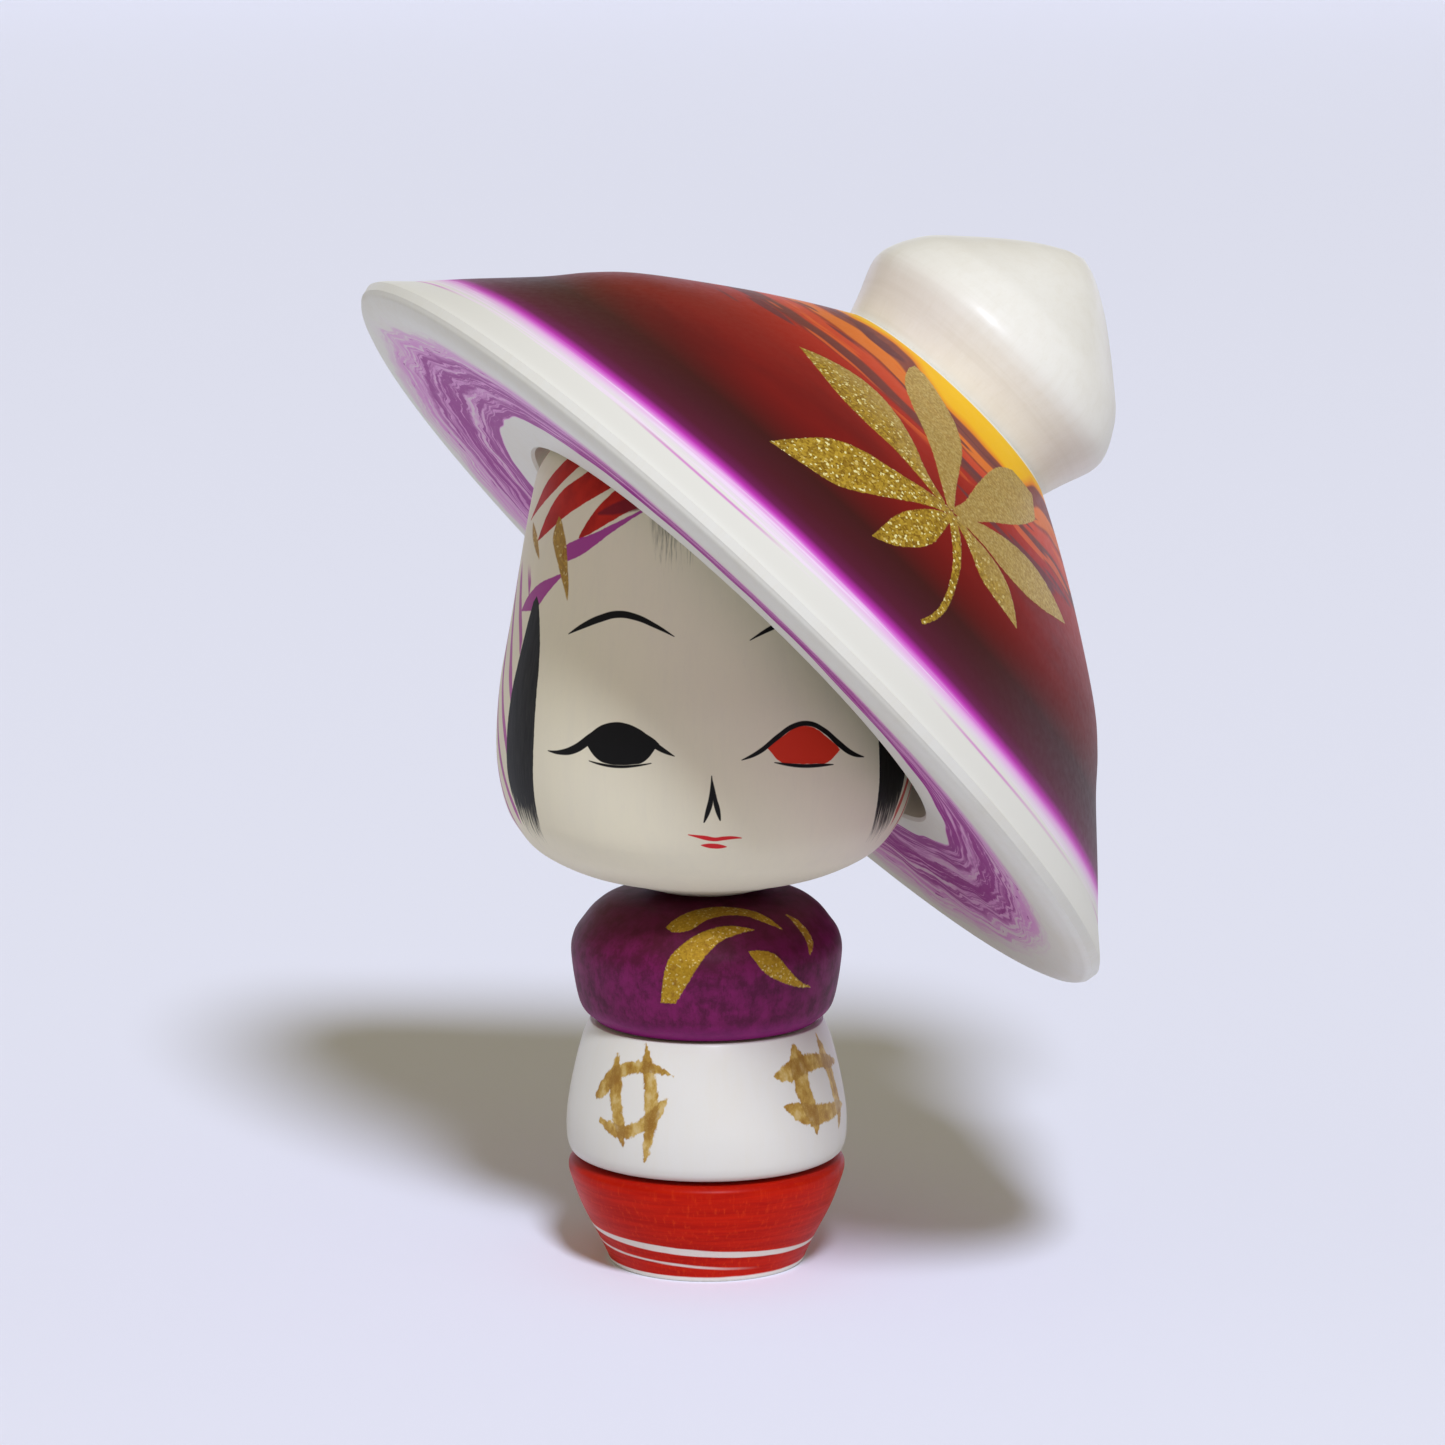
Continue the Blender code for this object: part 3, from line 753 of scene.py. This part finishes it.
def painted_head(piece):
    """White wood, toned darker and warmer as painted shade of the hat, with scarf stripes, hair, a face and
    gold, one over the other.
    """
    tree = new_finish("face_wood_painted", piece)
    place, height, radius, angle = lathe_space(tree)
    # The wood is darker and warmer than on the other pieces: painted shade of the hat over the face.
    colour, grain = pale_wood(tree, place, dye(228, 220, 193))
    canvas = unrolled(tree, height, angle, 21.0)
    fray = scaled(tree, noise(tree, canvas, (1.6, 1.6, 1), detail=3), 0.16, -0.08)
    bristle = noise(tree, canvas, (4.2, 0.35, 1), detail=3, roughness=0.6)

    # The scarf: its sides and back carry slanting stripes, purple on the left and red on the right
    aside = calc(tree, "ABSOLUTE", times(tree, angle, 21.0))
    turn_of = calc(tree, "DIVIDE", scaled(tree, aside, -1.55, height), 5.7)
    turn_of = calc(tree, "FRACT", calc(tree, "ADD", turn_of, 0.99))
    slant = calc(tree, "ABSOLUTE", calc(tree, "SUBTRACT", turn_of, 0.5))
    slant = scaled(tree, noise(tree, canvas, (0.35, 0.35, 1), detail=2), 0.12, slant)
    stripes = rise(tree, slant, 0.225, 0.195)
    stripes = times(tree, stripes, rise(tree, aside, 24.6, 25.0))
    stripes = times(tree, stripes, band(tree, height, 45.5, 71.5, 2.0))
    stripe_dye = blend(tree, rise(tree, angle, -0.05, 0.05), dye(172, 62, 150), dye(190, 44, 26))
    colour = blend(tree, times(tree, stripes, 0.92), colour, stripe_dye)
    wash = noise(tree, canvas, (0.5, 0.5, 1), detail=4)
    red = blend(tree, rise(tree, wash, 0.35, 0.7), dye(186, 36, 24), dye(164, 26, 20))
    reds = strokes(tree, canvas, LEFT_REDS + mirrored(LEFT_REDS), ragged=fray)
    back_reds = band(tree, calc(tree, "FRACT", times(tree, aside, 0.105)), 0.22, 0.62, 0.03)
    back_reds = times(tree, back_reds, rise(tree, height, 77.0, 79.0))
    back_reds = times(tree, back_reds, rise(tree, aside, 33.0, 33.6))
    reds = calc(tree, "MAXIMUM", reds, back_reds)
    colour = blend(tree, reds, colour, red)
    purples = strokes(tree, canvas, LEFT_PURPLES + mirrored(LEFT_PURPLES), ragged=fray)
    colour = blend(tree, times(tree, purples, 0.95), colour, dye(160, 40, 138))
    over_red = stroke(tree, canvas, *PURPLE_ON_RED, soft=0.3, ragged=fray)
    colour = blend(tree, times(tree, over_red, 0.8), colour, dye(104, 18, 36))

    # Hair: two locks and a forelock, whose bristle marks thin out towards their tips
    locks = strokes(tree, canvas, LEFT_LOCK + mirrored(LEFT_LOCK), ragged=fray)
    tip = scaled(tree, bristle, 9.0, height)
    locks = times(tree, locks, rise(tree, tip, 49.6, 53.6))
    wisp = scaled(tree, bristle, 15.0, height)
    forelock = times(tree, stroke(tree, canvas, *FORELOCK, soft=1.2, ragged=fray),
                    rise(tree, wisp, 82.0, 88.5))
    hair = calc(tree, "MAXIMUM", locks, times(tree, forelock, 0.8))
    black = blend(tree, rise(tree, bristle, 0.3, 0.75), dye(14, 13, 12), dye(36, 35, 32))
    colour = blend(tree, hair, colour, black)

    # The face, in black and red ink with a fine brush
    colour = blend(tree, stroke(tree, canvas, *RED_EYE, ragged=fray), colour, dye(206, 46, 22))
    ink = strokes(tree, canvas, BROWS + EYE_LINES + NOSE, soft=0.1)
    colour = blend(tree, ink, colour, dye(10, 9, 9))
    lips = strokes(tree, canvas, MOUTH, soft=0.1)
    colour = blend(tree, lips, colour, dye(206, 36, 40))

    gold, _ = gold_flakes(tree, place)
    golds = strokes(tree, canvas, LEFT_GOLDS + mirrored(LEFT_GOLDS), soft=0.2, ragged=fray)
    gold = blend(tree, 0.6, gold, dye(160, 116, 34))
    colour = blend(tree, times(tree, golds, 0.93), colour, gold)

    painted = calc(tree, "MAXIMUM", calc(tree, "MAXIMUM", ink, hair), calc(tree, "MAXIMUM", reds, golds))
    roughness = scaled(tree, grain, 0.14, 0.40)
    roughness = scaled(tree, painted, 0.06, roughness)
    relief = scaled(tree, painted, 0.012, tool_marks(tree, place, radius, height))
    relief = scaled(tree, grain, 0.005, relief)
    polish(tree, colour, roughness, relief, metal=times(tree, golds, 0.4), shine=0.18)


painted_head(head)

# ---------------------------------------------------------------------------------------------
# Hat peg: a thin birch dowel set slantwise into the head. The hat turns on it and lifts off it.
# ---------------------------------------------------------------------------------------------
peg = turned("hat_peg_turned", dowel_outline(peg_radius, peg_bottom, peg_top), HAT_LATHE, rounds=96)
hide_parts("hat_peg")
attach(peg, "peg")
bare_dowel(peg, "birch_peg", HAT_LATHE)

# ---------------------------------------------------------------------------------------------
# Hat brim: the wide bell of the travelling hat, turned thin from white wood and hollowed to clear
# the head. Its top is dyed in rings on the lathe and carries a gold maple leaf; its underside has
# rings of purple dye that ran together while it spun.
# ---------------------------------------------------------------------------------------------
hat_radius, brim_low, neck_height = lathe_size("hat_brim", HAT_LATHE)
crown_radius, tenon_end, crown_top = lathe_size("hat_crown", HAT_LATHE)
hat_neck = 13.4 * MM
tenon_radius = 6.0 * MM
tenon_bore = tenon_radius + bore_gap
top_wall = 6.9 * MM
hollow_height = neck_height - top_wall
hollow_aspect = 0.923
hollow_radius = hollow_height / hollow_aspect
hollow_power = 4
lip_drop = 0.3 * MM


def brim_outline():
    """The bowl, a superellipse (radius/R)^4 + (height/H)^4 = 1; the dished underside; the bell above."""
    power = 2 / hollow_power
    mouth = math.asin((tenon_bore / hollow_radius) ** (1 / power))
    t = np.linspace(mouth, math.pi / 2, 40)
    bowl = np.stack([hollow_radius * np.sin(t) ** power, hollow_height * np.abs(np.cos(t)) ** power], axis=1)
    reach = hat_radius - hollow_radius
    drop = -brim_low - lip_drop
    under = smooth_curve([(hollow_radius + reach * out, -lip_drop - drop * down) for out, down in (
        (0.012, 0.0), (0.05, 0.01), (0.28, 0.05), (0.6, 0.6), (0.86, 1), (0.96, 0.72), (0.992, 0.36))])
    slope = hat_radius - hat_neck
    outer = smooth_curve([(hat_neck + slope * out, neck_height * up) for out, up in (
        (1, 0), (0.985, 0.022), (0.922, 0.093), (0.825, 0.215), (0.684, 0.386), (0.60, 0.50),
        (0.505, 0.604), (0.308, 0.772), (0.14, 0.902), (0, 1))])
    return [bowl, under, outer, [(tenon_bore, neck_height), bowl[0]]]


brim = turned("hat_brim_turned", brim_outline(), HAT_LATHE)
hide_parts("hat_brim")
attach(brim, "hat")

BRIM_WOOD = dye(224, 222, 211)
# The dyed rings of the bell: distance from the axis in millimetres, colour
BELL_RINGS = (
    (10.0, dye(240, 190, 4)), (14.4, dye(238, 182, 4)), (15.1, dye(232, 156, 10)), (15.6, dye(224, 126, 20)),
    (15.9, dye(128, 64, 54)), (18.1, dye(132, 68, 56)), (18.4, dye(218, 116, 40)), (20.2, dye(212, 112, 44)),
    (20.5, dye(140, 50, 38)), (21.0, dye(198, 74, 44)), (22.8, dye(190, 64, 38)), (23.1, dye(116, 60, 52)),
    (24.4, dye(112, 54, 50)), (25.0, dye(166, 42, 28)), (27.3, dye(152, 32, 22)), (30.8, dye(132, 25, 20)),
    (35.2, dye(118, 21, 18)), (37.5, dye(92, 19, 18)), (39.4, dye(62, 20, 20)), (41.4, dye(70, 22, 32)),
    (43.4, dye(84, 24, 46)), (44.4, dye(108, 28, 80)), (45.0, dye(184, 52, 166)), (45.35, dye(212, 104, 200)),
    (45.75, dye(230, 178, 222)), (46.3, dye(228, 212, 222)), (46.8, BRIM_WOOD))
# How much purple there is under the brim: distance from the axis, strength from 0 to 1
UNDER_RINGS = (
    (30.7, 0.0), (31.0, 1.0), (32.2, 1.0), (32.7, 0.62), (33.6, 0.8), (34.4, 0.42), (35.3, 0.8),
    (35.9, 1.0), (37.8, 1.0), (38.4, 0.5), (39.6, 0.75), (41.0, 0.45), (43.2, 0.32), (46.2, 0.0))
MAPLE_LEAF = (
    ((-0.5, 0.0), (-18.7, -7.6), (0, 0, 0.2, 0.1, 0.15, 0.1, 0), (1.0, 2.2, 3.7, 5.3, 5.8, 3.5, 0.1)),
    ((-1.2, 0.4), (-19.1, 10.4), (0, 0.2, -0.2, -0.3, -0.4, -0.4, 0), (0.8, 1.8, 3.9, 5.7, 6.0, 4.0, 0.1)),
    ((-0.2, 0.8), (-7.4, 19.4), (0, -0.15, -0.5, -0.65, -0.3, 0.15, 0), (1.0, 2.2, 3.6, 5.2, 5.8, 4.6, 1.8)),
    ((0.5, 0.8), (9.0, 15.7), (0, -0.25, 0.1, 0.35, 0.6, 0.8, 0.8), (1.0, 2.3, 3.6, 4.9, 5.9, 6.2, 5.4)),
    ((1.2, 0.6), (18.6, 7.1), (0, 0, -0.3, -0.35, -0.2, 0, 0), (0.9, 2.7, 4.6, 5.5, 5.1, 3.2, 0.1)),
    ((0.8, 0.0), (12.1, -4.0), (0, 0, 0.05, 0.05, 0.2, 0.2, 0), (0.8, 1.6, 2.9, 3.9, 3.5, 2.1, 0.1)),
    ((-0.1, -0.9), (-6.2, -10.8), (0, 0.1, 0.35, 0.4, 0.35, 0.35, 0), (1.0, 2.4, 3.5, 3.8, 3.2, 2.0, 0.1)),
    ((0.2, -0.2), (2.2, -15.2), (0, 1.05, 1.8, 2.15, 2.1, 1.5, 0), (1.3, 1.3, 1.1, 0.85, 0.8, 0.75, 0.7)))


def bell_rings(tree, place, height, radius, angle):
    """The dye on top of the bell: rings that wander, with streaks that taper off along them."""
    # In front the yellow ring bulges outwards to about 19 mm
    bulge = calc(tree, "COSINE", times(tree, calc(tree, "ADD", angle, math.radians(6)), 2.6))
    near = rise(tree, calc(tree, "ABSOLUTE", calc(tree, "ADD", angle, math.radians(6))), 0.95, 0.25)
    bulge = times(tree, times(tree, rise(tree, bulge, -0.3, 0.9), near), 3.0)
    around = ringwise(tree, place, radius, 0.0, 1.5, 0.09)
    wander = scaled(tree, noise(tree, around, (1, 1, 1), detail=2), 4.4, -2.2)
    shift = times(tree, calc(tree, "ADD", bulge, wander), rise(tree, radius, 27.0, 17.0))
    edge_shift = calc(tree, "SUBTRACT", noise(tree, around, (1.4, 1.4, 1), detail=1), 0.5)
    edge_shift = times(tree, edge_shift, 0.9)
    shift = calc(tree, "ADD", shift, edge_shift)
    ring = calc(tree, "SUBTRACT", radius, shift)
    colour = ramp(tree, ring, 10.0, 50.0, BELL_RINGS)
    colour = blend(tree, rise(tree, radius, 13.95, 13.7), colour, BRIM_WOOD)
    inner_zone = band(tree, ring, 16.6, 29.0, 1.6)
    streak = noise(tree, ringwise(tree, place, ring, 0.0, 1.1, 0.46), (1, 1, 1), detail=2)
    dark = times(tree, rise(tree, streak, 0.56, 0.60), inner_zone)
    colour = blend(tree, times(tree, dark, 0.85), colour, dye(98, 52, 56))
    hot = times(tree, rise(tree, streak, 0.40, 0.36), band(tree, ring, 18.0, 26.0, 2.0))
    colour = blend(tree, times(tree, hot, 0.8), colour, dye(212, 96, 44))
    # Broad soft variation of the deep red, and fine pale rings outside the magenta edge
    soft = noise(tree, ringwise(tree, place, radius, 0.0, 1.2, 0.16), (1, 1, 1), detail=4)
    deep = times(tree, rise(tree, soft, 0.45, 0.75), band(tree, radius, 28.0, 44.0, 6.0))
    colour = blend(tree, times(tree, deep, 0.5), colour, dye(74, 18, 20))
    fine = noise(tree, ringwise(tree, place, radius, 0.0, 1.8, 2.6), (1, 1, 1), detail=3)
    lines = times(tree, rise(tree, fine, 0.52, 0.64), band(tree, radius, 45.4, 47.2, 0.5))
    colour = blend(tree, times(tree, lines, 0.7), colour, dye(240, 218, 238))
    wave = noise(tree, ringwise(tree, place, radius, 0.0, 1.1, 0.0), (1, 1, 1), detail=1)
    stray = scaled(tree, wave, -1.6, radius)
    second = times(tree, band(tree, stray, 46.2, 46.45, 0.2), rise(tree, wave, 0.44, 0.56))
    return blend(tree, times(tree, second, 0.75), colour, dye(206, 92, 190))


def under_rings(tree, place, radius, wood):
    """Purple dye under the brim: nested rings that swirl, break into dashes outside and fade away."""
    x, y, _ = node(tree, "SeparateXYZ", place).outputs
    off_centre = calc(tree, "ADD", times(tree, x, 0.012), times(tree, y, -0.018))
    slow = scaled(tree, noise(tree, place, (0.055, 0.055, 0.02), detail=2), 4.4, -2.2)
    swirl = scaled(tree, noise(tree, place, (0.22, 0.22, 0.05), detail=3), 2.0, -1.0)
    swirl = times(tree, swirl, rise(tree, radius, 31.5, 35.0))
    ring = calc(tree, "ADD", calc(tree, "ADD", radius, off_centre), calc(tree, "ADD", slow, swirl))
    amount = ramp(tree, ring, 29.0, 47.0, [(spot, (value, value, value, 1)) for spot, value in UNDER_RINGS])
    fine = noise(tree, ringwise(tree, place, ring, 0.0, 2.4, 2.1), (1, 1, 1), detail=4, roughness=0.6)
    brushed = scaled(tree, rise(tree, fine, 0.36, 0.58), 0.8, 0.5)
    amount = times(tree, amount, brushed, clamp=True)
    dash = noise(tree, ringwise(tree, place, ring, 0.0, 9.0, 1.6), (1, 1, 1), detail=2)
    dashes = times(tree, rise(tree, dash, 0.62, 0.68), band(tree, ring, 38.5, 43.6, 2.0))
    amount = calc(tree, "MAXIMUM", amount, times(tree, dashes, 0.8))
    pink = blend(tree, rise(tree, amount, 0.0, 0.5), wood, dye(214, 144, 200))
    return blend(tree, rise(tree, amount, 0.4, 0.95), pink, dye(152, 20, 136))


def hat_dyes(piece):
    """Rings above, rings below, bare wood in the bowl and on the rim, and the gold leaf over all."""
    tree = new_finish("hat_dye_rings", piece)
    place, height, radius, angle = lathe_space(tree, HAT_LATHE)
    wood, grain = pale_wood(tree, place, BRIM_WOOD)
    above = times(tree, rise(tree, height, 0.05, 0.15),
                 rise(tree, calc(tree, "ADD", radius, height), 43.4, 43.6))
    below = times(tree, rise(tree, height, 0.1, 0.0), rise(tree, radius, 26.0, 27.0))
    colour = blend(tree, below, wood, under_rings(tree, place, radius, wood))
    colour = blend(tree, above, colour, bell_rings(tree, place, height, radius, angle))

    # The leaf's own plane touches the bell's slope at the leaf's middle
    bearing = math.radians(-8.8)
    leaf_middle = (31.85 * math.sin(bearing), -31.85 * math.cos(bearing), 19.02)
    slope = math.radians(43)
    roll = Matrix.Rotation(math.radians(1.9), 3, "Z")
    leaf_plane = Euler((math.pi / 2 - slope, 0, bearing)).to_matrix() @ roll
    canvas = tilted_canvas(tree, place, leaf_plane.to_euler(), leaf_middle)
    depth = calc(tree, "ABSOLUTE", node(tree, "SeparateXYZ", canvas).outputs[2])
    fray = scaled(tree, noise(tree, place, (2.4, 2.4, 2.4), detail=3), 0.3, -0.15)
    leaf = strokes(tree, canvas, MAPLE_LEAF, soft=0.14, ragged=fray)
    leaf = times(tree, leaf, times(tree, above, rise(tree, depth, 14.0, 12.0)))
    flakes, bright = gold_flakes(tree, place)
    # The two lobes on the left, the stem and the leaf's heart are thick with flakes, the rest is thinner
    canvas_x, canvas_y, _ = node(tree, "SeparateXYZ", canvas).outputs
    lean = scaled(tree, canvas_x, -0.6, times(tree, canvas_y, -1.0))
    thick = scaled(tree, noise(tree, canvas, (0.5, 0.5, 1), detail=3), 8.0, lean)
    thick = rise(tree, thick, 0.0, 7.0)
    rubbed = noise(tree, place, (3.0, 3.0, 3.0), detail=4)
    thin = blend(tree, rise(tree, rubbed, 0.3, 0.7), dye(168, 136, 66), dye(204, 178, 108))
    gold = blend(tree, scaled(tree, thick, 0.8, 0.14), thin, flakes)
    colour = blend(tree, times(tree, leaf, 0.97), colour, gold)

    fuzz = noise(tree, place, (1.3, 1.3, 1.3), detail=4)
    roughness = scaled(tree, fuzz, 0.20, 0.34)
    relief = times(tree, leaf, scaled(tree, bright, 0.035, 0.02))
    relief = calc(tree, "ADD", relief, tool_marks(tree, place, radius, height))
    relief = scaled(tree, grain, 0.006, relief)
    polish(tree, colour, roughness, relief, metal=times(tree, leaf, 0.35), shine=0.12)


hat_dyes(brim)

# ---------------------------------------------------------------------------------------------
# Hat crown: the raised white top, turned with a tenon that is glued into the brim's bore. The
# blind hole in the tenon takes the peg. It is bare wood, waxed to a soft shine.
# ---------------------------------------------------------------------------------------------
seam = 0.05 * MM


def crown_outline():
    """A cup that widens to a shoulder and closes in a low cone, on its bored tenon."""
    bottom = neck_height + seam
    tall = crown_top - bottom
    side = smooth_curve([(crown_radius * out, bottom + tall * up) for out, up in (
        (0.845, 0.0), (0.855, 0.012), (0.905, 0.12), (0.955, 0.215), (0.98, 0.268), (0.988, 0.32),
        (0.97, 0.378), (0.92, 0.455), (0.837, 0.545), (0.68, 0.655), (0.52, 0.76), (0.33, 0.872),
        (0.14, 0.96), (0, 1))])
    bore = peg_radius + bore_gap
    tenon = [(0, peg_top + dowel_air), (bore, peg_top + dowel_air), (bore, tenon_end),
             (tenon_radius, tenon_end), (tenon_radius, bottom)]
    return [tenon, side]


crown = turned("hat_crown_turned", crown_outline(), HAT_LATHE)
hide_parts("hat_crown")
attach(crown, "hat")


def waxed_wood(piece):
    """Bare white wood under wax, with faint turning rings."""
    tree = new_finish("white_wood_waxed", piece)
    place, height, radius, _ = lathe_space(tree, HAT_LATHE)
    wood, grain = pale_wood(tree, place)
    rings = noise(tree, ringwise(tree, place, radius, height, 0.5, 0.8), (1, 1, 1), detail=4)
    colour = blend(tree, times(tree, rise(tree, rings, 0.5, 0.8), 0.3), wood, dye(214, 208, 192))
    roughness = scaled(tree, grain, 0.14, 0.32)
    relief = scaled(tree, grain, 0.005, tool_marks(tree, place, radius, height, 0.008))
    polish(tree, colour, roughness, relief, coat=0.2)


waxed_wood(crown)
